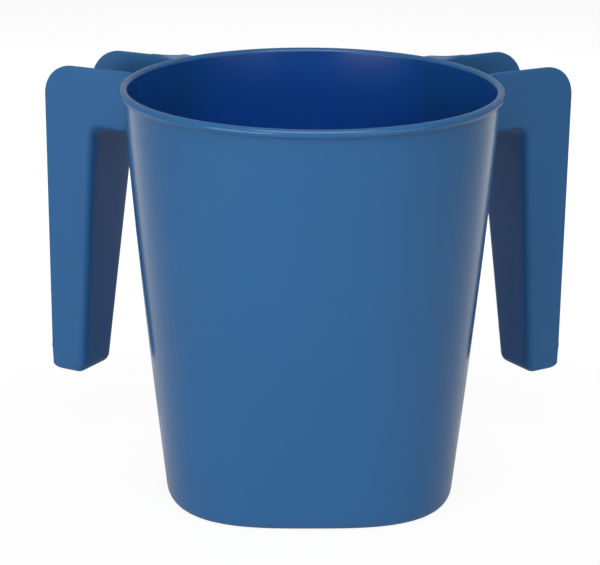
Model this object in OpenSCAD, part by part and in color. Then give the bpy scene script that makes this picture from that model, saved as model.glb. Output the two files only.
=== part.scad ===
// Two-handled washing cup, moulded in one blue plastic
// The origin is the centre of the standing face, with +Z up.
// The handles stand out to -X and +X, swept back towards +Y, and the front of the cup faces -Y.
// Lengths are in millimetres and angles in degrees.

/* [Cup] */
// Diameter over the bead of the rim
rim_d = 130; // [110:1:150]
// Height from the standing face to the crown of the rim
cup_h = 141; // [120:1:170]
// Width of the base across its flat sides
base_w = 99; // [84:0.2:112]
// Squareness of the base outline, where 2 is a circle
base_squareness = 3; // [2:0.1:4]
// How far the wall bows out at half its height
wall_bow = 0.9; // [0:0.1:1.5]
// Thickness of the cup's wall
wall_t = 1.8; // [1.2:0.1:2.6]

/* [Rim] */
// Diameter of the round bead along the rim
bead_d = 3; // [2.6:0.1:4]
// How far the bead stands out past the wall
bead_overhang = 1.35; // [1:0.05:1.6]
// Depth of the flat on the bead's underside that sits on the wall
bead_seat = 0.45; // [0.3:0.05:0.8]

/* [Base] */
// Radius of the rounded outer edge of the base
base_edge_r = 3; // [1.5:0.1:5]
// Radius of the fillet inside, between the wall and the floor
floor_fillet_r = 3; // [1:0.1:4]
// Thickness of the floor
floor_t = 2; // [1.4:0.1:3]
// Height of the standing ring under the floor
foot_h = 1; // [0.6:0.1:2]
// Width of the standing ring
foot_w = 4; // [3:0.1:6]

/* [Handles] */
// Angle from the X axis back to each handle
handle_sweep = 31; // [0:0.5:45]
// From the rim out to the handle's outer edge, at the top
arm_reach = 34; // [30:0.5:42]
// Height of the arm from its top edge to its underside, at the rim
arm_depth = 22; // [16:0.5:28]
// Fall of the arm's top edge towards its outer end
arm_fall = 1; // [0:0.1:4]
// From the rim out to the finger side of the leg, under the arm
finger_gap = 15; // [10:0.2:18]
// How much further out the finger side lies at the foot of the leg
grip_splay = 9.8; // [6:0.2:12]
// How much further out the outer edge lies at the foot of the leg
edge_splay = 4.2; // [1:0.1:6]
// Height of the foot of the leg above the standing face
leg_foot_z = 24.4; // [15:0.2:50]
// Width across the two cheeks, at the top
handle_w_top = 32.2; // [26:0.2:38]
// Width across the two cheeks, at the foot
handle_w_foot = 18.4; // [14:0.2:24]
// Thickness of each cheek
cheek_t = 1.8; // [1.2:0.1:2.6]
// Thickness of the web on the finger side
web_t = 2; // [1.2:0.1:3]
// Radius of the arm's outer top corner
shoulder_r = 11.5; // [4:0.5:14]
// Radius of the corner between the arm and the leg, on the finger side
armpit_r = 4; // [2:0.5:8]
// Radius of the two corners at the foot of the leg
toe_r = 3; // [1:0.5:4.5]
// Radius of the fillet where the outside of a cheek meets the cup
root_r = 6.5; // [3:0.5:10]
// How deep that fillet runs into the wall, so that it never ends in a loose sliver
root_sink = 0.4; // [0.2:0.1:1]

/* [Hidden] */

// Flat sides round the cup, bands up its wall, and steps in each rounded corner
cup_sides = 96;
wall_bands = 5;
corner_steps = 5;
$fn = 96;

// Which cheek of a handle: the front one lies at -1 and the rear one at +1 across it
front = -1;
rear = 1;

// Levels and radii of the cup
rim_r = rim_d / 2;
bead_r = bead_d / 2;
bead_z = cup_h - bead_r;
wall_top_z = cup_h - bead_d + bead_seat;
wall_top_r = rim_r - bead_overhang;
floor_top_z = foot_h + floor_t;
floor_fillet = min(floor_fillet_r, base_edge_r + foot_w - wall_t);
wall_levels = [for (k = [0:wall_bands]) base_edge_r + (wall_top_z - base_edge_r) * k / wall_bands];

// Levels and distances of the handles, measured from the cup's axis
arm_under_z = cup_h - arm_depth;
arm_root_s = rim_r / 2;
arm_meets_rim_s = sqrt(pow(rim_r, 2) - pow(handle_w_top / 2, 2));
edge_top_s = rim_r + arm_reach;
edge_foot_s = edge_top_s + edge_splay;
grip_top_s = rim_r + finger_gap;
grip_foot_s = grip_top_s + grip_splay;
grip_slope = atan(grip_splay / (arm_under_z - leg_foot_z));
cheek_lean = atan((handle_w_top - handle_w_foot) / 2 / (cup_h - leg_foot_z));
past = 2 * (rim_d + cup_h);

// Colours of the moulded plastic
cup_blue = [0.22, 0.41, 0.60];
floor_blue = [0.19, 0.37, 0.56];
rim_blue = [0.30, 0.50, 0.70];
cheek_blue = [0.24, 0.43, 0.62];
web_blue = [0.15, 0.25, 0.40];

// Radius of the base outline at an angle round the cup
function base_r(a) =
    let (n = base_squareness)
    base_w / 2 / pow(pow(abs(cos(a)), n) + pow(abs(sin(a)), n), 1 / n);

// Outside of the wall, from the squared base up to the round rim, with a slight bow between them
function outer_r(a, z) =
    let (t = z / wall_top_z)
    base_r(a) + (wall_top_r - base_r(a)) * t + wall_bow * 4 * t * (1 - t);

// Outer and inner edges of the standing ring
function foot_outer_r(a) = base_r(a) - base_edge_r;
function foot_inner_r(a) = foot_outer_r(a) - foot_w;

// One cut through the wall, as points [radius, height] from the foot up the outside and down the inside
function wall_section(a) = concat(
    [for (k = [0:corner_steps])
        let (turn = 90 * k / corner_steps, z = base_edge_r * (1 - cos(turn)))
        [outer_r(a, z) - base_edge_r * (1 - sin(turn)), z]],
    [for (k = [1:wall_bands]) [outer_r(a, wall_levels[k]), wall_levels[k]]],
    [for (k = [wall_bands:-1:1]) [outer_r(a, wall_levels[k]) - wall_t, wall_levels[k]]],
    [for (k = [corner_steps:-1:0])
        let (turn = 90 * k / corner_steps, z = floor_top_z + floor_fillet * (1 - cos(turn)))
        [outer_r(a, z) - wall_t - floor_fillet * (1 - sin(turn)), z]],
    [[foot_inner_r(a), floor_top_z], [foot_inner_r(a), foot_h], [foot_outer_r(a), foot_h]]
);

function round_point(a, p) = [p[0] * cos(a), p[0] * sin(a), p[1]];
function side_angle(i) = 360 * i / cup_sides;
function foot_outline(inner) =
    [for (i = [0:cup_sides - 1])
        let (a = side_angle(i), r = inner ? foot_inner_r(a) : foot_outer_r(a))
        r * [cos(a), sin(a)]];

// Two triangles between neighbouring points of neighbouring cuts
function quad(i, k, count) =
    let (
        i2 = (i + 1) % cup_sides,
        k2 = (k + 1) % count,
        low = i * count + k,
        high = i * count + k2,
        next_high = i2 * count + k2,
        next_low = i2 * count + k
    )
    [[low, high, next_high], [low, next_high, next_low]];

// Outline with each corner rounded to its own radius, where 0 leaves it sharp
function unit(v) = v / norm(v);
function corner_arc(p, before, after, r) =
    let (
        u = unit(before - p),
        v = unit(after - p),
        half_angle = acos(u * v) / 2,
        centre = p + unit(u + v) * r / sin(half_angle),
        start = p + u * r / tan(half_angle) - centre,
        end = p + v * r / tan(half_angle) - centre,
        sweep = 180 - 2 * half_angle
    )
    [for (k = [0:corner_steps])
        let (turn = sweep * k / corner_steps)
        centre + (start * sin(sweep - turn) + end * sin(turn)) / sin(sweep)];
function rounded(corners, radii) =
    let (n = len(corners))
    [for (i = [0:n - 1])
        let (p = corners[i], before = corners[(i + n - 1) % n], after = corners[(i + 1) % n])
        each radii[i] > 0 ? corner_arc(p, before, after, radii[i]) : [p]];

// Finger side of the handle at a height, moved outwards by the thickness of the web
function channel_s(z) = grip_top_s + (arm_under_z - z) * tan(grip_slope) + web_t / cos(grip_slope);

// Side outline of a whole handle, as [distance from the cup's axis, height]
function handle_outline() = rounded(
    [
        [arm_root_s, cup_h],
        [arm_meets_rim_s, cup_h],
        [edge_top_s, cup_h - (edge_top_s - arm_meets_rim_s) * tan(arm_fall)],
        [edge_foot_s, leg_foot_z],
        [grip_foot_s, leg_foot_z],
        [grip_top_s, arm_under_z],
        [arm_root_s, arm_under_z]
    ],
    [0, 0, shoulder_r, toe_r, toe_r, armpit_r, 0]
);

// Space of the channel between the cheeks, which is open at the top and on the outer side
function channel_outline() =
    let (under = arm_under_z + web_t, foot = leg_foot_z + web_t)
    rounded(
        [
            [arm_root_s, cup_h + past],
            [edge_foot_s + past, cup_h + past],
            [edge_foot_s + past, foot],
            [channel_s(foot), foot],
            [channel_s(under), under],
            [arm_root_s, under]
        ],
        [0, 0, 0, toe_r, armpit_r + web_t, 0]
    );

// The cup
module cup_wall() {
    count = len(wall_section(0));
    color(cup_blue)
        polyhedron(
            points = [for (i = [0:cup_sides - 1]) each
                [for (p = wall_section(side_angle(i))) round_point(side_angle(i), p)]],
            faces = [for (i = [0:cup_sides - 1], k = [0:count - 1]) each quad(i, k, count)],
            convexity = 6
        );
}

module cup_floor() {
    color(floor_blue)
        translate([0, 0, foot_h])
            linear_extrude(floor_t)
                polygon(foot_outline(inner = true));
}

module foot_ring() {
    color(floor_blue)
        linear_extrude(foot_h)
            difference() {
                polygon(foot_outline(inner = false));
                polygon(foot_outline(inner = true));
            }
}

module bead_section() {
    intersection() {
        translate([rim_r - bead_r, bead_z]) circle(d = bead_d);
        translate([0, wall_top_z]) square([rim_d, bead_d]);
    }
}

module rim_bead() {
    color(rim_blue)
        rotate_extrude()
            bead_section();
}

// Space that the cup takes up, which ends the arms of the handles
module cup_outside() {
    below = max([for (z = wall_levels) if (z < arm_under_z) z]);
    above = cup_h + bead_d;
    levels = [for (z = wall_levels) if (z >= below) z, above];
    count = len(levels);
    polyhedron(
        points = [for (i = [0:cup_sides - 1], z = levels)
            round_point(side_angle(i), [outer_r(side_angle(i), z), z])],
        faces = concat(
            [for (i = [0:cup_sides - 1], k = [0:count - 2]) each quad(i, k, count)],
            [[for (i = [0:cup_sides - 1]) count * i]],
            [[for (i = [cup_sides - 1:-1:0]) count * i + count - 1]]
        )
    );
    rotate_extrude() {
        bead_section();
        translate([0, bead_z]) square([rim_r, bead_d]);
    }
}

// The handles, drawn along +X before they are turned to their places
module across_handle(outline) {
    translate([0, past / 2, 0])
        rotate([90, 0, 0])
            linear_extrude(past)
                polygon(outline);
}

// Place on the outer face of a cheek, leaning with it, where +Y points out of the handle
module on_cheek(side) {
    translate([0, side * handle_w_foot / 2, leg_foot_z])
        rotate([-side * cheek_lean, 0, 0])
            mirror([0, side > 0 ? 0 : 1, 0])
                children();
}

// Slab from a depth inside a cheek's outer face out to a thickness
module cheek_slab(side, depth, thickness) {
    on_cheek(side)
        translate([0, -depth, -past / 2])
            cube([past, thickness, past]);
}

// Fillet between the outer face of a cheek and the wall, hollowed by a round of its radius
module root_fillet(side) {
    axis_y = -handle_w_top / 2;
    reach = wall_top_r - root_sink + root_r;
    hollow = [sqrt(pow(reach, 2) - pow(root_r - axis_y, 2)), root_r];
    inside = hollow + 2 * root_r * unit([0, axis_y] - hollow);
    seat_y = -cheek_t / 2;
    on_cheek(side)
        translate([0, 0, -past / 2])
            linear_extrude(past)
                difference() {
                    polygon([[hollow[0], seat_y], hollow, inside, [inside[0], seat_y]]);
                    translate(hollow) circle(r = root_r);
                }
}

module handle_cheek(side) {
    color(cheek_blue)
        difference() {
            intersection() {
                across_handle(handle_outline());
                union() {
                    cheek_slab(side, cheek_t, cheek_t);
                    root_fillet(side);
                }
            }
            rotate([0, 0, -handle_sweep]) cup_outside();
        }
}

module handle_web() {
    color(web_blue)
        difference() {
            across_handle(handle_outline());
            across_handle(channel_outline());
            cheek_slab(front, cheek_t, past);
            cheek_slab(rear, cheek_t, past);
            rotate([0, 0, -handle_sweep]) cup_outside();
        }
}

module on_right() {
    rotate([0, 0, handle_sweep]) children();
}

module on_left() {
    mirror([1, 0, 0]) on_right() children();
}

module left_handle_front_cheek() { on_left() handle_cheek(front); }
module left_handle_rear_cheek() { on_left() handle_cheek(rear); }
module left_handle_web() { on_left() handle_web(); }
module right_handle_front_cheek() { on_right() handle_cheek(front); }
module right_handle_rear_cheek() { on_right() handle_cheek(rear); }
module right_handle_web() { on_right() handle_web(); }

cup_wall();
cup_floor();
foot_ring();
rim_bead();
left_handle_front_cheek();
left_handle_rear_cheek();
left_handle_web();
right_handle_front_cheek();
right_handle_rear_cheek();
right_handle_web();
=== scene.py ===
"""Looks of a two-handled washing cup: one glossy blue moulding on a white studio floor."""

import math

import bmesh
import bpy
from mathutils import Matrix, Vector


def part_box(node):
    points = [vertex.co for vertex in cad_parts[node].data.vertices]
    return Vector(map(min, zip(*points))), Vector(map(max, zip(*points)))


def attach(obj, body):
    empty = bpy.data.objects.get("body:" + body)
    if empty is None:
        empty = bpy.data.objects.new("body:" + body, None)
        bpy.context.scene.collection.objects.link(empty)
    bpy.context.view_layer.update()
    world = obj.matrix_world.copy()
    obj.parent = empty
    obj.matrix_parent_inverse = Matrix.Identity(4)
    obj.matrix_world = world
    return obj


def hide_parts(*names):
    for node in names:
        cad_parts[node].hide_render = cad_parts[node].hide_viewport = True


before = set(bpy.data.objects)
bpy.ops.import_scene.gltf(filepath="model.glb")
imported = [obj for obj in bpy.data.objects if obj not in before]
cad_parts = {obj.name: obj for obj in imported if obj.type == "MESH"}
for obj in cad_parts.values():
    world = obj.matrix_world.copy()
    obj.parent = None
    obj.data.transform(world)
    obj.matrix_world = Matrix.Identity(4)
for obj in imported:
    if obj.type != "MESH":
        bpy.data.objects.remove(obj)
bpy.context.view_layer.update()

MM = 0.001
BODY = "root"

# Sizes read from the frame
rim_low, rim_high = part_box("rim_bead")
rim_r = rim_high.x
cup_h = rim_high.z
wall_top_z = rim_low.z
wall_top_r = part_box("cup_wall")[1].x
foot_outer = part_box("foot_ring")[1].x
foot_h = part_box("foot_ring")[1].z
foot_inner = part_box("cup_floor")[1].x
floor_top_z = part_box("cup_floor")[1].z
leg_foot_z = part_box("right_handle_web")[0].z

# Sizes of the cup that the frame's boxes don't give
base_edge_r = 3.0 * MM
base_squareness = 3.0
wall_bow = 0.9 * MM
wall_t = 1.8 * MM
floor_fillet_r = 3.0 * MM
bead_r = 1.5 * MM
bead_fillet_r = 0.5 * MM
foot_edge_r = 0.4 * MM
gate_r = 2.4 * MM
gate_h = 0.35 * MM
base_w = 2 * (foot_outer + base_edge_r)

# The cup's mesh: its sides, the gap that is welded, and the value from which a finish is used
cup_sides = 288
weld_gap = 0.002 * MM
finish_border = 0.9

# Sizes of the handles, with the arm's reach and the finger gap measured from the rim
handle_sweep = math.radians(31.0)
arm_reach = 34.0 * MM
arm_depth = 22.0 * MM
arm_fall = math.radians(1.0)
finger_gap = 15.0 * MM
grip_splay = 9.8 * MM
edge_splay = 4.2 * MM
handle_w_top = 32.2 * MM
handle_w_foot = 18.4 * MM
cheek_t = 1.8 * MM
web_t = 2.0 * MM
shoulder_r = 11.5 * MM
armpit_r = 4.0 * MM
toe_r = 4.0 * MM
lip_r = 4.5 * MM
root_r = 6.5 * MM
grip_edge_r = 2.9 * MM
foot_round_r = 2.8 * MM
channel_fillet_r = 1.2 * MM
free_edge_r = 0.45 * MM

# Shallow sink marks inside the cup, behind the cheeks of the handles
sink_depth = 0.3 * MM
sink_half_width = math.radians(1.6)
sink_fade_low = 6 * MM
sink_fade_high = 2 * MM

# The root of each arm, from inside the wall out to where the arm runs free
root_sink = 1.0 * MM
root_start = 0.3 * MM
root_clear = 0.6 * MM
root_turn = math.radians(18)
root_shares = (0.0, 0.05, 0.1, 0.17, 0.25, 0.35, 0.5, 0.7, 1.0)

# How far inside the rim's outer edge the root's top begins to dip under the bead, and is lowest
dip_start = 0.2 * MM
dip_full = 1.2 * MM

# The crest that each rear cheek's root forms along the rim, and its fall past the cheek. Its paleness is
# a painted highlight, full within crest_highlight_full of the rim
crest_gap = 1.0 * MM
crest_r = 14.0 * MM
crest_low_z = cup_h - 4.0 * MM
crest_high_z = cup_h - 1.6 * MM
crest_fall = 2.0 * MM
fall_start = 5.0 * MM
fall_full = 9.0 * MM
crest_highlight_full = 2.0 * MM

# The groove between crest and bead, first outwards from the rim and then past the cheek
groove_depth = 2.0 * MM
groove_start = 1.1 * MM
groove_full = 0.6 * MM
groove_past_start = 0.6 * MM
groove_past_full = 1.4 * MM

# The sink pit in the crest
pit_depth = 4.0 * MM
pit_s = rim_r + 1.2 * MM
pit_half = 1.1 * MM
pit_share = 0.68

# Cuts along a handle: how many there are, how high the last ones end, where its edges tighten
bend_steps = 10
arm_steps = 6
leg_steps = 16
toe_steps = 8
lip_steps = 8
leg_end_h = 22 * MM
lip_end_h = 9 * MM
tighten_from = 0.7

# Rows of a cut across a handle: up each cheek, round each fillet, across the web and a free edge
cheek_shares = (1.0, 0.94, 0.86, 0.75, 0.4, 0.0)
fillet_steps = 7
web_places = (-0.6, -0.2, 0.2, 0.6)
edge_shifts = (0.18, 0.0, -0.18)

# Places along the handle and heights that follow from the sizes
arm_under_z = cup_h - arm_depth
edge_top_s = rim_r + arm_reach
edge_foot_s = edge_top_s + edge_splay
grip_top_s = rim_r + finger_gap
grip_foot_s = grip_top_s + grip_splay


# Objects and node trees

def add_object(name, data):
    """A new object in the scene."""
    thing = bpy.data.objects.new(name, data)
    bpy.context.scene.collection.objects.link(thing)
    return thing


class Field:
    """A value in a node tree. Arithmetic on it adds Math nodes to the tree."""

    def __init__(self, tree, socket):
        self.tree = tree
        self.socket = socket

    def math(self, operation, *others):
        node = self.tree.nodes.new("ShaderNodeMath")
        node.operation = operation
        for socket, value in zip(node.inputs, (self, *others)):
            feed(self.tree, socket, value)
        return Field(self.tree, node.outputs[0])

    def __add__(self, other):
        return self.math("ADD", other)

    def __sub__(self, other):
        return self.math("SUBTRACT", other)

    def __mul__(self, other):
        return self.math("MULTIPLY", other)

    def __truediv__(self, other):
        return self.math("DIVIDE", other)

    def __pow__(self, other):
        return self.math("POWER", other)

    def ramp(self, low, high, to_low=0.0, to_high=1.0):
        node = self.tree.nodes.new("ShaderNodeMapRange")
        node.interpolation_type = "SMOOTHSTEP"
        for name, value in zip(("Value", "From Min", "From Max", "To Min", "To Max"),
                               (self, low, high, to_low, to_high)):
            feed(self.tree, node.inputs[name], value)
        return Field(self.tree, node.outputs["Result"])


def feed(tree, socket, value):
    """Links a field or socket to an input, or sets the input's own value."""
    if isinstance(value, Field):
        value = value.socket
    if isinstance(value, bpy.types.NodeSocket):
        tree.links.new(value, socket)
    else:
        socket.default_value = value


def empty_tree(owner):
    """The node tree of a material or world, with no nodes yet."""
    owner.use_nodes = True
    owner.node_tree.nodes.clear()
    return owner.node_tree


def add_node(tree, kind, inputs=(), **settings):
    """A new node with its settings, and its inputs by name or number."""
    node = tree.nodes.new(kind)
    for name, value in settings.items():
        setattr(node, name, value)
    for name, value in dict(inputs).items():
        feed(tree, node.inputs[name], value)
    return node


# Finishes

def moulded_surface_group():
    """Tone, gloss and relief of moulded plastic, shared by every finish of the cup."""
    tree = bpy.data.node_groups.new("moulded_surface", "ShaderNodeTree")
    sockets = (
        ("Position", "NodeSocketVector", (0, 0, 0)),
        ("Edge", "NodeSocketFloat", 0.0),
        ("Plastic", "NodeSocketColor", (0.5, 0.5, 0.5, 1)),
        ("Worn And Highlight", "NodeSocketColor", (0.5, 0.5, 0.5, 1)),
        ("Gloss Roughness", "NodeSocketFloat", 0.3),
        ("Tone Change", "NodeSocketFloat", 0.05),
        ("Scuffing", "NodeSocketFloat", 0.1),
        ("Edge Wear And Highlight", "NodeSocketFloat", 0.1),
    )
    for name, kind, value in sockets:
        socket = tree.interface.new_socket(name, in_out="INPUT", socket_type=kind)
        socket.default_value = value
    for name, kind in (("Color", "NodeSocketColor"), ("Roughness", "NodeSocketFloat"),
                       ("Height", "NodeSocketFloat")):
        tree.interface.new_socket(name, in_out="OUTPUT", socket_type=kind)
    given = tree.nodes.new("NodeGroupInput").outputs

    def noise(scale, detail, stretch=(1, 1, 1)):
        place = add_node(tree, "ShaderNodeMapping",
                         {"Vector": given["Position"], "Scale": stretch})
        node = add_node(tree, "ShaderNodeTexNoise",
                        {"Vector": place.outputs["Vector"], "Scale": scale, "Detail": detail})
        return Field(tree, node.outputs["Fac"])

    clouds = noise(scale=22, detail=3)
    streaks = noise(scale=90, detail=3, stretch=(1, 1, 0.08))
    skin = noise(scale=650, detail=2)
    scratches = noise(scale=420, detail=2, stretch=(0.12, 0.12, 1)).ramp(0.66, 0.74)
    patches = noise(scale=45, detail=2).ramp(0.5, 0.68)
    specks = add_node(tree, "ShaderNodeTexVoronoi",
                      {"Vector": given["Position"], "Scale": 260, "Randomness": 1})
    speck_size = Field(tree, specks.outputs["Distance"]).ramp(0.1, 0.06)
    speck_pick = add_node(tree, "ShaderNodeSeparateColor", {"Color": specks.outputs["Color"]})
    dust = speck_size * Field(tree, speck_pick.outputs[0]).ramp(0.985, 0.99)

    scuffs = scratches * patches * Field(tree, given["Scuffing"])
    # Paler edges: real rubbing on the cup, a painted highlight along the handles' crests
    rubbed_and_highlit = Field(tree, given["Edge"]) * noise(scale=140, detail=3).ramp(0.15, 0.5)
    wear_and_highlight = rubbed_and_highlit * Field(tree, given["Edge Wear And Highlight"]) + scuffs + dust * 0.1

    tone = (clouds * 0.6 + streaks * 0.4 - 0.5) * Field(tree, given["Tone Change"]) * 2 + 1
    shaded = add_node(tree, "ShaderNodeVectorMath", {0: given["Plastic"], "Scale": tone},
                      operation="SCALE")
    # For colours this node uses inputs 0, 6 and 7, and output 2
    blend = add_node(tree, "ShaderNodeMix", {
        0: wear_and_highlight.math("MINIMUM", 1.0), 6: shaded.outputs["Vector"], 7: given["Worn And Highlight"]}, data_type="RGBA")
    roughness = (Field(tree, given["Gloss Roughness"]) + (clouds - 0.5) * 0.06
                 + (streaks - 0.5) * 0.04 + wear_and_highlight * 0.5)
    height = skin * 0.6 + streaks * 0.4 - scuffs * 0.5
    add_node(tree, "NodeGroupOutput",
             {"Color": blend.outputs[2], "Roughness": roughness, "Height": height})
    return tree


def plastic(name, group, colour, worn_and_highlight_colour, roughness, tone_change, scuffing, edge_wear_and_highlight, relief,
            specular=0.35, see_through=0.0):
    """A moulded plastic finish with its own colour, gloss, scuffs and paler edges, which may let some
    light through. On the handles the paler edges are a painted highlight along the crests.
    """
    material = bpy.data.materials.new(name)
    material.diffuse_color = (*colour, 1)
    tree = empty_tree(material)
    place = tree.nodes.new("ShaderNodeTexCoord")
    edge = add_node(tree, "ShaderNodeAttribute", attribute_name="edge")
    surface = add_node(tree, "ShaderNodeGroup", {
        "Position": place.outputs["Object"],
        "Edge": edge.outputs["Fac"],
        "Plastic": (*colour, 1),
        "Worn And Highlight": (*worn_and_highlight_colour, 1),
        "Gloss Roughness": roughness,
        "Tone Change": tone_change,
        "Scuffing": scuffing,
        "Edge Wear And Highlight": edge_wear_and_highlight,
    }, node_tree=group)
    bump = add_node(tree, "ShaderNodeBump", {
        "Strength": 0.5, "Distance": relief, "Height": surface.outputs["Height"]})
    shader = add_node(tree, "ShaderNodeBsdfPrincipled", {
        "Base Color": surface.outputs["Color"],
        "Roughness": surface.outputs["Roughness"],
        "Normal": bump.outputs["Normal"],
        "IOR": 1.5,
        "Specular IOR Level": specular,
        "Subsurface Weight": see_through,
        "Subsurface Radius": light_reach_shares,
        "Subsurface Scale": light_reach,
    })
    add_node(tree, "ShaderNodeOutputMaterial", {"Surface": shader.outputs["BSDF"]})
    return material


mould_blue = (0.020, 0.117, 0.295)
# The inside's deeper, darker blue is painted shade: the cup is one plastic, coloured darker inside to
# stand in for the shade in it
shaded_inside_blue = (0.008, 0.080, 0.300)
worn_blue = (0.10, 0.24, 0.45)
# Paler blue of the handles' crests, a painted highlight, and of their scuffs and dust
highlight_and_scuff_blue = (0.30, 0.38, 0.54)
light_reach = 5.5 * MM
light_reach_shares = (0.25, 0.65, 1.0)
skin_relief = 0.012 * MM
scuffed_relief = 0.05 * MM
surface_group = moulded_surface_group()
cup_finish = plastic("cup_blue_plastic", surface_group, mould_blue, worn_blue, roughness=0.20,
                     tone_change=0.05, scuffing=0.05, edge_wear_and_highlight=0.05, relief=skin_relief)
# The inside finish is painted shade, a darker copy of the cup's blue; its light through the wall is real
shaded_inside_finish = plastic("cup_inside_shaded_plastic", surface_group, shaded_inside_blue, worn_blue, roughness=0.22,
                        tone_change=0.05, scuffing=0.06, edge_wear_and_highlight=0.0, relief=skin_relief,
                        see_through=1.0)
# On the handles the edge colour is a painted highlight along the rear crests
handle_finish = plastic("handle_blue_plastic", surface_group, mould_blue, highlight_and_scuff_blue, roughness=0.5,
                        tone_change=0.05, scuffing=0.06, edge_wear_and_highlight=0.6, relief=skin_relief,
                        specular=0.3)
foot_finish = plastic("standing_face_plastic", surface_group, mould_blue, worn_blue, roughness=0.45,
                      tone_change=0.07, scuffing=0.45, edge_wear_and_highlight=0.35, relief=scuffed_relief)


# The cup: one loft from the soft square base to the round rim

def arc(centre, r, start, end, steps):
    """Points along an arc in the plane of a cut, with angles in degrees from outwards to up."""
    turns = [math.radians(start + (end - start) * k / steps) for k in range(steps + 1)]
    return [(centre[0] + r * math.cos(a), centre[1] + r * math.sin(a)) for a in turns]


def line(start, end, steps):
    """Points along a line, without its first one."""
    return [(start[0] + (end[0] - start[0]) * k / steps, start[1] + (end[1] - start[1]) * k / steps)
            for k in range(1, steps + 1)]


def cup_profile():
    """The cut through the cup, from the centre of the underside, up the outside and down the inside.

    Each point is (share, offset, height): its radius is that share of the wall's radius plus the offset.
    Beside it stand its wear and how far it belongs to the inside of the wall and to the underside.
    """
    ring_in = foot_inner - base_w / 2
    ring_out = foot_outer - base_w / 2
    bead_o = rim_r - bead_r - wall_top_r
    bead_z = cup_h - bead_r
    bead = (bead_o, bead_z)
    blend_z = bead_z - math.sqrt((bead_r + bead_fillet_r) ** 2 - (bead_fillet_r - bead_o) ** 2)
    under_turn = math.degrees(math.atan2(blend_z - bead_z, bead_fillet_r - bead_o))
    some_wear = 0.3
    full_wear = 1.0
    rows = []

    def add(points, share=1.0, wear_and_highlight=0.0, inside=0.0, underside=0.0):
        rows.extend((share, o, z, wear_and_highlight, inside, underside) for o, z in points)

    gate_z = foot_h - gate_h
    add([(0, gate_z), (0.8 * gate_r, gate_z), (gate_r, gate_z + gate_h / 2), (1.05 * gate_r, foot_h),
         (1.4 * gate_r, foot_h)], share=0.0, underside=1.0)
    for share in (0.3, 0.6):
        add([(0, foot_h)], share=share, underside=1.0)
    add([(ring_in - 3 * foot_edge_r, foot_h)], underside=1.0)
    add(arc((ring_in - foot_edge_r, foot_h - foot_edge_r), foot_edge_r, 90, 0, 3), underside=1.0)
    face_in = ring_in + foot_edge_r
    add(arc((face_in, foot_edge_r), foot_edge_r, 180, 270, 3), wear_and_highlight=full_wear, underside=1.0)
    add(line((face_in, 0), (ring_out, 0), 3), wear_and_highlight=full_wear, underside=1.0)
    add(arc((-base_edge_r, base_edge_r), base_edge_r, -80, 0, 7), wear_and_highlight=some_wear)
    add(line((0, base_edge_r), (0, blend_z), 14))
    add(arc((bead_fillet_r, blend_z), bead_fillet_r, 170, 180 + under_turn, 4))
    add(arc(bead, bead_r, under_turn + 8, 60, 8), wear_and_highlight=some_wear)
    add(arc(bead, bead_r, 72, 120, 4), wear_and_highlight=full_wear)
    add(arc(bead, bead_r, 135, 150, 2), wear_and_highlight=some_wear)
    add(arc(bead, bead_r, 165, 180, 2), inside=1.0)
    inner_top = blend_z - bead_fillet_r
    floor_end = floor_top_z + floor_fillet_r
    add([(-wall_t, inner_top)], inside=1.0)
    add(line((-wall_t, inner_top), (-wall_t, floor_end), 16), inside=1.0)
    add(arc((-wall_t - floor_fillet_r, floor_end), floor_fillet_r, -10, -90, 8), inside=1.0)
    for share in (0.75, 0.5, 0.25, 0.0):
        add([(0, floor_top_z)], share=share, inside=1.0)
    return rows


def profile_object(rows):
    """The cut as a chain of points for the loft, each with its wear, inside and underside."""
    mesh = bpy.data.meshes.new("cup_profile")
    mesh.from_pydata([row[:3] for row in rows], [(k, k + 1) for k in range(len(rows) - 1)], [])
    for column, name in enumerate(("edge", "inside", "underside"), start=3):
        values = mesh.attributes.new(name, "FLOAT", "POINT")
        values.data.foreach_set("value", [row[column] for row in rows])
    return add_object("cup_profile", mesh)


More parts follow.
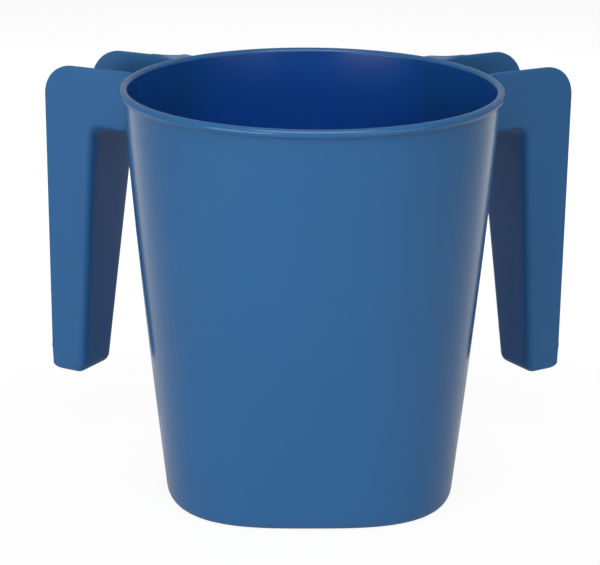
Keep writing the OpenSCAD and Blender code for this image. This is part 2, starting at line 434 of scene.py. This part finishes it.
def cup_loft_tree():
    """Geometry Nodes that sweep the cut round the cup, from the squared base up to the round rim."""
    tree = bpy.data.node_groups.new("cup_loft", "GeometryNodeTree")
    inputs = (
        ("Profile", "NodeSocketObject"), ("Rows", "NodeSocketInt"), ("Sides", "NodeSocketInt"),
        ("Base Width", "NodeSocketFloat"), ("Squareness", "NodeSocketFloat"),
        ("Top Radius", "NodeSocketFloat"), ("Top Height", "NodeSocketFloat"), ("Bow", "NodeSocketFloat"),
        ("Front Cheek Angle", "NodeSocketFloat"), ("Rear Cheek Angle", "NodeSocketFloat"),
        ("Sink Depth", "NodeSocketFloat"), ("Sink Half Width", "NodeSocketFloat"),
        ("Sink Foot", "NodeSocketFloat"),
        ("Wall Finish", "NodeSocketMaterial"), ("Inside Finish", "NodeSocketMaterial"),
        ("Foot Finish", "NodeSocketMaterial"),
    )
    for name, kind in inputs:
        tree.interface.new_socket(name, in_out="INPUT", socket_type=kind)
    tree.interface.new_socket("Geometry", in_out="OUTPUT", socket_type="NodeSocketGeometry")
    given = tree.nodes.new("NodeGroupInput").outputs

    def value(name):
        return Field(tree, given[name])

    grid = add_node(tree, "GeometryNodeMeshGrid", {
        "Size X": 1.0, "Size Y": 1.0, "Vertices X": value("Sides") + 1, "Vertices Y": given["Rows"]})
    position = tree.nodes.new("GeometryNodeInputPosition").outputs[0]
    spot = add_node(tree, "ShaderNodeSeparateXYZ", {0: position})
    angle = (Field(tree, spot.outputs[0]) + 0.5) * math.tau
    row = ((Field(tree, spot.outputs[1]) + 0.5) * (value("Rows") - 1)).math("ROUND")
    cut = add_node(tree, "GeometryNodeObjectInfo", {"Object": given["Profile"]}).outputs["Geometry"]

    def along_cut(source, kind):
        node = add_node(tree, "GeometryNodeSampleIndex",
                        {"Geometry": cut, "Value": source, "Index": row},
                        data_type=kind, domain="POINT")
        return node.outputs[0]

    def cut_value(name):
        source = add_node(tree, "GeometryNodeInputNamedAttribute", {"Name": name}, data_type="FLOAT")
        return Field(tree, along_cut(source.outputs[0], "FLOAT"))

    parts = add_node(tree, "ShaderNodeSeparateXYZ", {0: along_cut(position, "FLOAT_VECTOR")})
    share, offset, height = (Field(tree, parts.outputs[k]) for k in range(3))
    across = angle.math("COSINE")
    along = angle.math("SINE")
    n = value("Squareness")
    corner_sum = across.math("ABSOLUTE") ** n + along.math("ABSOLUTE") ** n
    base_r = value("Base Width") * 0.5 / corner_sum ** (n ** -1.0)
    rise = (height / value("Top Height")).math("MINIMUM", 1.0)
    bulge = value("Bow") * 4.0 * rise * (rise * -1.0 + 1.0)
    outer_r = base_r + (value("Top Radius") - base_r) * rise + bulge

    folded = along.math("ARCTAN2", across.math("ABSOLUTE"))
    low = value("Sink Foot")
    high = value("Top Height")
    deep = (cut_value("inside") * height.ramp(low, low + sink_fade_low)
            * height.ramp(high, high - sink_fade_high) * value("Sink Depth"))

    def dent(name):
        away = (folded - value(name)) / value("Sink Half Width")
        return (away * away * -1.0).math("EXPONENT")

    dents = dent("Front Cheek Angle") + dent("Rear Cheek Angle")
    radius = share * outer_r + offset + deep * dents

    shape = grid.outputs["Mesh"]
    for name in ("edge", "inside", "underside"):
        stored = add_node(tree, "GeometryNodeStoreNamedAttribute",
                          {"Geometry": shape, "Name": name, "Value": cut_value(name)},
                          data_type="FLOAT", domain="POINT")
        shape = stored.outputs[0]
    place = add_node(tree, "ShaderNodeCombineXYZ",
                     {"X": radius * across, "Y": radius * along, "Z": height})
    moved = add_node(tree, "GeometryNodeSetPosition", {"Geometry": shape, "Position": place.outputs[0]})
    closed = add_node(tree, "GeometryNodeMergeByDistance",
                      {"Geometry": moved.outputs[0], "Distance": weld_gap})
    smooth = add_node(tree, "GeometryNodeSetShadeSmooth", {"Geometry": closed.outputs[0]})
    real = add_node(tree, "GeometryNodeRealizeInstances", {"Geometry": smooth.outputs[0]})
    shape = add_node(tree, "GeometryNodeSetMaterial",
                     {"Geometry": real.outputs[0], "Material": given["Wall Finish"]}).outputs[0]
    # Faces inside the cup get the darker painted-shade blue, those of the underside the scuffed finish
    for name, finish in (("inside", "Inside Finish"), ("underside", "Foot Finish")):
        flag = add_node(tree, "GeometryNodeInputNamedAttribute", {"Name": name}, data_type="FLOAT")
        belongs = Field(tree, flag.outputs[0]).math("GREATER_THAN", finish_border)
        shape = add_node(tree, "GeometryNodeSetMaterial", {
            "Geometry": shape, "Selection": belongs, "Material": given[finish]}).outputs[0]
    add_node(tree, "NodeGroupOutput", {"Geometry": shape})
    return tree


def face_outwards(mesh):
    """Turns every face of a closed mesh outwards."""
    shape = bmesh.new()
    shape.from_mesh(mesh)
    bmesh.ops.recalc_face_normals(shape, faces=shape.faces)
    shape.to_mesh(mesh)
    shape.free()


def make_cup():
    """The wall, floor, standing ring and rim bead as one smooth shell."""
    rows = cup_profile()
    profile = profile_object(rows)
    tree = cup_loft_tree()
    maker = add_object("cup_maker", bpy.data.meshes.new("cup_maker"))
    loft = maker.modifiers.new("cup_loft", "NODES")
    loft.node_group = tree
    cheek_turn = math.asin(handle_w_top / 2 / wall_top_r)
    sizes = {
        "Profile": profile, "Rows": len(rows), "Sides": cup_sides,
        "Base Width": base_w, "Squareness": base_squareness,
        "Top Radius": wall_top_r, "Top Height": wall_top_z, "Bow": wall_bow,
        "Front Cheek Angle": handle_sweep - cheek_turn, "Rear Cheek Angle": handle_sweep + cheek_turn,
        "Sink Depth": sink_depth, "Sink Half Width": sink_half_width, "Sink Foot": arm_under_z,
        "Wall Finish": cup_finish, "Inside Finish": shaded_inside_finish, "Foot Finish": foot_finish,
    }
    for item in tree.interface.items_tree:
        if item.item_type == "SOCKET" and item.in_out == "INPUT":
            loft[item.identifier] = sizes[item.name]
    graph = bpy.context.evaluated_depsgraph_get()
    mesh = bpy.data.meshes.new_from_object(maker.evaluated_get(graph))
    mesh.name = "cup_shell"
    mesh.materials.pop(index=0)
    cup = add_object("cup_shell", mesh)
    for helper in (maker, profile):
        bpy.data.objects.remove(helper)
    face_outwards(mesh)
    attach(cup, BODY)
    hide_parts("cup_wall", "cup_floor", "foot_ring", "rim_bead")


# The handles: a channel whose cheeks and web run into each other

def wall_r(turn, z):
    """Radius of the wall's outside at an angle round the cup and a height."""
    n = base_squareness
    base = base_w / 2 / (abs(math.cos(turn)) ** n + abs(math.sin(turn)) ** n) ** (1 / n)
    rise = min(z / wall_top_z, 1.0)
    return base + (wall_top_r - base) * rise + wall_bow * 4 * rise * (1 - rise)


def half_width(z):
    """Half the width across the cheeks at a height."""
    rise = (z - leg_foot_z) / (cup_h - leg_foot_z)
    return (handle_w_foot + (handle_w_top - handle_w_foot) * rise) / 2


def round_corner(before, corner, after, r, steps):
    """Points of an arc that rounds a corner of a side outline, with the arc's centre."""
    u = (before - corner).normalized()
    v = (after - corner).normalized()
    half = u.angle(v) / 2
    centre = corner + (u + v).normalized() * (r / math.sin(half))
    start = corner + u * (r / math.tan(half)) - centre
    turn = start.angle_signed(corner + v * (r / math.tan(half)) - centre)
    points = []
    for k in range(steps + 1):
        points.append(centre + Matrix.Rotation(-turn * k / steps, 2) @ start)
    return points, centre


def places(start, end, steps):
    """Places from a start to an end, with both ends."""
    return [start + (end - start) * (k / steps) for k in range(steps + 1)]


def smooth_step(value, low, high):
    """0 at a low value and 1 at a high one, with a soft change between."""
    share = min(max((value - low) / (high - low), 0.0), 1.0)
    return share * share * (3 - 2 * share)


def handle_columns():
    """Cuts along a handle from its root to the lip at the foot, as a side view.

    Each is a dictionary: the finger side's point and inward normal, the free edge's point and the
    radius of the grip's edges. A cut at the root also has its distance from the wall, or its share
    of the way from the rim to the end of the root's fillet. One at the foot has its share along it.
    """
    corner = Vector((grip_top_s, arm_under_z))
    toe = Vector((grip_foot_s, leg_foot_z))
    lip = Vector((edge_foot_s, leg_foot_z))
    arm_start = Vector((rim_r, arm_under_z))
    shoulder = Vector((edge_top_s, cup_h - arm_reach * math.tan(arm_fall)))
    arm_top = Vector((rim_r, cup_h))
    armpit, armpit_centre = round_corner(arm_start, corner, toe, armpit_r, bend_steps)
    toe_arc, toe_centre = round_corner(corner, toe, lip, toe_r, toe_steps)
    top_arc, _ = round_corner(arm_top, shoulder, lip, shoulder_r, bend_steps)
    edge_line = (lip - shoulder).normalized()

    def on_edge(height):
        return lip - edge_line * ((leg_foot_z - height) / edge_line.y)

    up = Vector((0, 1))
    leg_normal = Vector((corner.y - toe.y, toe.x - corner.x)).normalized()
    columns = []

    def add(finger, normal, edge, r, **more):
        columns.append({"finger": finger, "normal": normal, "edge": edge, "r": r, **more})

    for away in (-root_sink, 0.0, root_start):
        add(arm_start, up, arm_top, grip_edge_r, from_wall=away)
    for share in root_shares:
        add(arm_start, up, arm_top, grip_edge_r, from_rim=share)
    half = half_width(cup_h)
    root_end = math.sqrt((rim_r + crest_gap + crest_r) ** 2 - (half + crest_r) ** 2)
    arm_s = root_end + root_clear
    lows = places(Vector((arm_s, arm_under_z)), armpit[0], arm_steps)
    arm_top_z = cup_h - (arm_s - rim_r) * math.tan(arm_fall)
    tops = places(Vector((arm_s, arm_top_z)), top_arc[0], arm_steps)
    for low, high in zip(lows, tops):
        add(low, up, high, grip_edge_r)
    for low, high in list(zip(armpit, top_arc))[1:]:
        add(low, (low - armpit_centre).normalized(), high, grip_edge_r)
    leg_end = on_edge(leg_foot_z + leg_end_h)
    lows = places(armpit[-1], toe_arc[0], leg_steps)
    tops = places(top_arc[-1], leg_end, leg_steps)
    for k in range(1, leg_steps + 1):
        tighter = max(0.0, (k / leg_steps - tighten_from) / (1 - tighten_from))
        add(lows[k], leg_normal, tops[k], grip_edge_r + (foot_round_r - grip_edge_r) * tighter)
    ends = places(leg_end, on_edge(leg_foot_z + lip_end_h), toe_steps + lip_steps)
    for k in range(1, toe_steps + 1):
        add(toe_arc[k], (toe_centre - toe_arc[k]).normalized(), ends[k], foot_round_r)
    for k in range(1, lip_steps + 1):
        add(toe_arc[-1], up, ends[toe_steps + k], foot_round_r, along_foot=k / lip_steps)
    return columns


def lip_end(depth):
    """Where the foot ends on its rounded outer corner, at a depth above its underside."""
    if depth >= lip_r:
        return edge_foot_s
    return edge_foot_s - lip_r + math.sqrt(lip_r ** 2 - (lip_r - depth) ** 2)


def handle_section():
    """The rows of a cut across the handle, from the front cheek's free edge to the rear one's.

    Each is (side, share from the web to the free edge, turn round the fillet, place across the web).
    """
    turns = [math.radians(90 * k / fillet_steps) for k in reversed(range(fillet_steps))]
    front = [(-1, share, None, None) for share in cheek_shares]
    front += [(-1, None, turn, None) for turn in turns]
    middle = [(0, None, None, place) for place in web_places]
    rear = [(1, share, turn, None) for _, share, turn, _ in reversed(front)]
    return front + middle + rear


def skin_sizes(column, inner):
    """A skin's depth behind the finger side and the cheeks' outer faces, and its fillet radius."""
    if inner:
        return web_t, cheek_t, channel_fillet_r
    return 0.0, 0.0, column["r"]


def fillet_place(row, r):
    """How deep a row lies in its fillet, and how far it stands back from the cheek's face."""
    _, share, turn, _ = row
    if share is not None:
        return r, 0.0
    if turn is not None:
        return r * (1 - math.cos(turn)), r * (1 - math.sin(turn))
    return 0.0, r


def is_root(column):
    """Whether a cut lies where the arm runs into the wall."""
    return "from_wall" in column or "from_rim" in column


def handle_point(column, row, inner):
    """A point of the handle's outer or inner skin, along the handle, across it and up."""
    if is_root(column):
        return root_point(column, row, inner)
    side, share, _, across = row
    depth_in, thick, r = skin_sizes(column, inner)
    finger = column["finger"]

    def at_depth(depth):
        if "along_foot" in column:
            reach = (lip_end(depth) - finger.x) * column["along_foot"]
            return Vector((finger.x + reach, leg_foot_z + depth))
        return finger + column["normal"] * depth

    deep, set_back = fillet_place(row, r)
    place = at_depth(depth_in + deep)
    if share is not None:
        place += (column["edge"] - place) * share
    s, z = place
    y = half_width(z) - thick - set_back
    return Vector((s, y * (side if side else across), z))


def fillet_y(radius, seat, centre_y, r):
    """Place across the handle of a fillet that touches a circle round the cup's axis."""
    middle = seat + r
    cosine = (middle ** 2 + radius ** 2 - r ** 2) / (2 * middle * radius)
    return radius * math.sin(math.asin(centre_y / middle) - math.acos(min(1.0, cosine)))


def root_top(radius, y):
    """Height of a root's top edge, which dips under the bead.

    Beyond the rear cheek a steep groove parts it from the bead, and it falls away further on.
    """
    past_cheek = y - half_width(cup_h)
    dip = smooth_step(radius, rim_r - dip_start, rim_r - dip_full)
    groove = smooth_step(radius, rim_r + groove_start, rim_r + groove_full)
    groove *= smooth_step(past_cheek, groove_past_start, groove_past_full)
    fall = smooth_step(past_cheek, fall_start, fall_full)
    return cup_h - max(groove_depth * max(dip, groove), crest_fall * fall)


def root_point(column, row, inner):
    """A point of a skin where the arm runs into the wall, with a fillet outside each cheek."""
    side, share, _, across = row
    lean = side if side else math.copysign(1, across)
    depth_in, thick, r = skin_sizes(column, inner)
    deep, set_back = fillet_place(row, r)
    low_z = arm_under_z + depth_in + deep
    z = low_z
    if share is not None:
        z += (cup_h - low_z) * share
    half = half_width(z)
    wall = wall_r(handle_sweep + lean * root_turn, z)
    crest = smooth_step(z, crest_low_z, crest_high_z) if lean > 0 else 0.0
    seat = wall + (rim_r + crest_gap - wall) * crest
    outer_r = root_r + (crest_r - root_r) * crest
    reach = math.hypot(math.sqrt((seat + outer_r) ** 2 - (half + outer_r) ** 2), half)
    if "from_wall" in column:
        radius = wall + column["from_wall"]
    else:
        radius = rim_r + (reach - rim_r) * column["from_rim"]
    y = half - thick if inner else fillet_y(max(radius, seat), seat, half + outer_r, outer_r)
    if share is not None:
        z = low_z + (root_top(radius, y * lean) - low_z) * share
    y = (y - set_back) * (side if side else across)
    return Vector((math.sqrt(radius ** 2 - y ** 2), y, z))


def edge_points(outer, inner, at_root):
    """Points across a cheek's free edge, between its skins, with the sink pit in the rear crest."""
    on_crest = at_root and outer.y > 0
    middle = pit_share if on_crest else 0.5
    points = [inner + (outer - inner) * (middle + shift) for shift in edge_shifts]
    if on_crest:
        for point in points:
            point.z = root_top(math.hypot(point.x, point.y), point.y)
        away = (math.hypot(points[1].x, points[1].y) - pit_s) / pit_half
        points[1].z -= pit_depth * math.exp(-away * away)
    return points


def handle_mesh(name, mirrored):
    """The handle's outer and inner skins, joined along their free edges and closed at both ends."""
    section = handle_section()
    last = len(section) - 1
    inner_rear = last + len(edge_shifts) + 1
    inner_front = inner_rear + last
    turn = Matrix.Rotation(handle_sweep, 3, "Z")
    flip = Matrix.Diagonal((-1, 1, 1)) if mirrored else Matrix.Identity(3)
    shape = bmesh.new()

    # One ring of points per cut: outer skin, rear free edge, inner skin, front free edge
    # Painted highlight on the rear crests, kept in the edge attribute
    crest_highlight = shape.verts.layers.float.new("edge")
    rings = []
    for column in handle_columns():
        at_root = is_root(column)
        outer = [handle_point(column, row, False) for row in section]
        inner = [handle_point(column, row, True) for row in section]
        rear_edge = edge_points(outer[last], inner[last], at_root)
        front_edge = edge_points(outer[0], inner[0], at_root)
        points = outer + rear_edge + inner[::-1] + front_edge[::-1]
        ring = [shape.verts.new(flip @ turn @ point) for point in points]
        rings.append(ring)
        if at_root:
            # The crest is painted pale on both sides of the pit: a painted highlight, full near the rim
            crest = ring[last:inner_rear + 1]
            for vertex in crest[:2] + crest[-2:]:
                from_rim = math.hypot(vertex.co.x, vertex.co.y) - rim_r
                vertex[crest_highlight] = smooth_step(from_rim, crest_r / 2, crest_highlight_full)

    # Faces between the rings, and across both ends
    size = len(rings[0])
    for ring, after in zip(rings, rings[1:]):
        for i in range(size):
            k = (i + 1) % size
            shape.faces.new((ring[i], after[i], after[k], ring[k]))
    for ring in (rings[0], rings[-1]):
        for i in range(last):
            across = [ring[i], ring[i + 1], ring[inner_front - i - 1], ring[inner_front - i]]
            if i == 0:
                across += ring[inner_front + 1:]
            if i == last - 1:
                across[2:2] = ring[last + 1:inner_rear]
            shape.faces.new(across)
    bmesh.ops.recalc_face_normals(shape, faces=shape.faces)

    # Edges that the bevel rounds: the free edges, and those of the lip
    sharp = shape.edges.layers.float.new("bevel_weight_edge")
    for ring, after in zip(rings, rings[1:]):
        for i in (0, last, inner_rear, inner_front):
            shape.edges.get((ring[i], after[i]))[sharp] = 1.0
    lip = rings[-1]
    for i in range(last):
        shape.edges.get((lip[inner_rear + i], lip[inner_rear + i + 1]))[sharp] = 1.0
        if section[i][1] is not None and section[i + 1][1] is not None:
            shape.edges.get((lip[i], lip[i + 1]))[sharp] = 1.0
    for face in shape.faces:
        face.smooth = True
    mesh = bpy.data.meshes.new(name)
    shape.to_mesh(mesh)
    shape.free()
    return mesh


def make_handle(side):
    """One handle, with rounded free edges, in place of its two cheeks and web."""
    name = side + "_handle"
    handle = add_object(name, handle_mesh(name, side == "left"))
    handle.data.materials.append(handle_finish)
    bevel = handle.modifiers.new("free_edges", "BEVEL")
    bevel.limit_method = "WEIGHT"
    bevel.width = free_edge_r
    bevel.segments = 3
    bevel.use_clamp_overlap = False
    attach(handle, BODY)
    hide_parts(*(f"{side}_handle_{part}" for part in ("front_cheek", "rear_cheek", "web")))


make_cup()
for side in ("left", "right"):
    make_handle(side)


# Studio: a white floor and surround, with lights on both sides, above and over the floor behind

def is_seen(tree, gloss_share):
    """1 where the camera or glass sees a surface, a share of it where gloss does, and else 0."""
    rays = tree.nodes.new("ShaderNodeLightPath").outputs
    seen = Field(tree, rays["Is Camera Ray"]).math("MAXIMUM", rays["Is Transmission Ray"])
    return seen.math("MAXIMUM", Field(tree, rays["Is Glossy Ray"]) * gloss_share)


def make_world(light_strength, gloss_share):
    """A white surround, which lights the cup less than it shows."""
    world = bpy.data.worlds.new("white_surround")
    bpy.context.scene.world = world
    tree = empty_tree(world)
    strength = is_seen(tree, gloss_share) * (1 - light_strength) + light_strength
    sky = add_node(tree, "ShaderNodeBackground", {"Color": (1, 1, 1, 1), "Strength": strength})
    add_node(tree, "ShaderNodeOutputWorld", {"Surface": sky.outputs[0]})


def make_floor(half_size, pale_tone, shadow_share, gloss_share):
    """A pale floor that shows as white and keeps a soft shadow of the cup."""
    mesh = bpy.data.meshes.new("studio_floor")
    corners = ((-1, -1), (1, -1), (1, 1), (-1, 1))
    mesh.from_pydata([(x * half_size, y * half_size, 0) for x, y in corners], [], [(0, 1, 2, 3)])
    floor = add_object("studio_floor", mesh)
    material = bpy.data.materials.new("studio_white")
    tree = empty_tree(material)
    seen = is_seen(tree, gloss_share)
    lit = add_node(tree, "ShaderNodeBsdfDiffuse", {"Color": seen * (1 - pale_tone) + pale_tone})
    white = add_node(tree, "ShaderNodeEmission", {"Color": (1, 1, 1, 1), "Strength": 1.0})
    mix = add_node(tree, "ShaderNodeMixShader",
                   {0: seen * (1 - shadow_share), 1: lit.outputs[0], 2: white.outputs[0]})
    add_node(tree, "ShaderNodeOutputMaterial", {"Surface": mix.outputs[0]})
    mesh.materials.append(material)


def make_light(name, azimuth, elevation, size, power, aim=(0, 0, cup_h / 2), away=1.0, in_gloss=True):
    """A soft rectangular light aimed at a point, with azimuth 0 in front and 90 to the right."""
    data = bpy.data.lights.new(name, "AREA")
    data.shape = "RECTANGLE"
    data.size, data.size_y = size
    data.energy = power
    light = add_object(name, data)
    azimuth, elevation = (math.radians(a) for a in (azimuth, elevation))
    level = math.cos(elevation)
    towards = Vector((math.sin(azimuth) * level, -math.cos(azimuth) * level, math.sin(elevation)))
    light.location = Vector(aim) + towards * away
    light.rotation_mode = "QUATERNION"
    light.rotation_quaternion = (-towards).to_track_quat("-Z", "Y")
    light.visible_camera = False
    light.visible_glossy = in_gloss


def make_camera(place, yaw, pitch, roll, focal_px):
    """The photograph's viewpoint: yaw from +Y towards +X, pitch downwards, all in degrees."""
    image_width = 600
    data = bpy.data.cameras.new("camera")
    data.sensor_fit = "HORIZONTAL"
    data.sensor_width = 36
    data.lens = focal_px / image_width * data.sensor_width
    data.clip_start, data.clip_end = 0.01, 100
    yaw, pitch, roll = (math.radians(a) for a in (yaw, pitch, roll))
    level = math.cos(pitch)
    forward = Vector((math.sin(yaw) * level, math.cos(yaw) * level, -math.sin(pitch)))
    right = forward.cross(Vector((0, 0, 1))).normalized()
    up = right.cross(forward)
    tilted_right = math.cos(roll) * right + math.sin(roll) * up
    tilted_up = math.cos(roll) * up - math.sin(roll) * right
    axes = Matrix((tilted_right, tilted_up, -forward)).transposed()
    camera = add_object("camera", data)
    camera.matrix_world = Matrix.Translation(place) @ axes.to_4x4()
    bpy.context.scene.camera = camera


make_world(light_strength=0.06, gloss_share=0.38)
make_floor(half_size=8.0, pale_tone=0.7, shadow_share=0.08, gloss_share=0.1)
make_light("left_softbox", azimuth=-42, elevation=6, size=(0.7, 0.3), power=4.3)
make_light("right_softbox", azimuth=42, elevation=6, size=(0.7, 0.3), power=1.7)
make_light("top_softbox", azimuth=0, elevation=60, size=(0.9, 0.7), power=7.7)
make_light("floor_softbox", azimuth=0, elevation=90, size=(0.7, 0.25), power=3.2,
           aim=(0, 0.46, 0), away=0.25, in_gloss=False)
make_camera(place=(-0.0226, -0.7794, 0.3133), yaw=1.40, pitch=17.22, roll=0.47, focal_px=2366.8)
bpy.context.scene.view_settings.view_transform = "Standard"
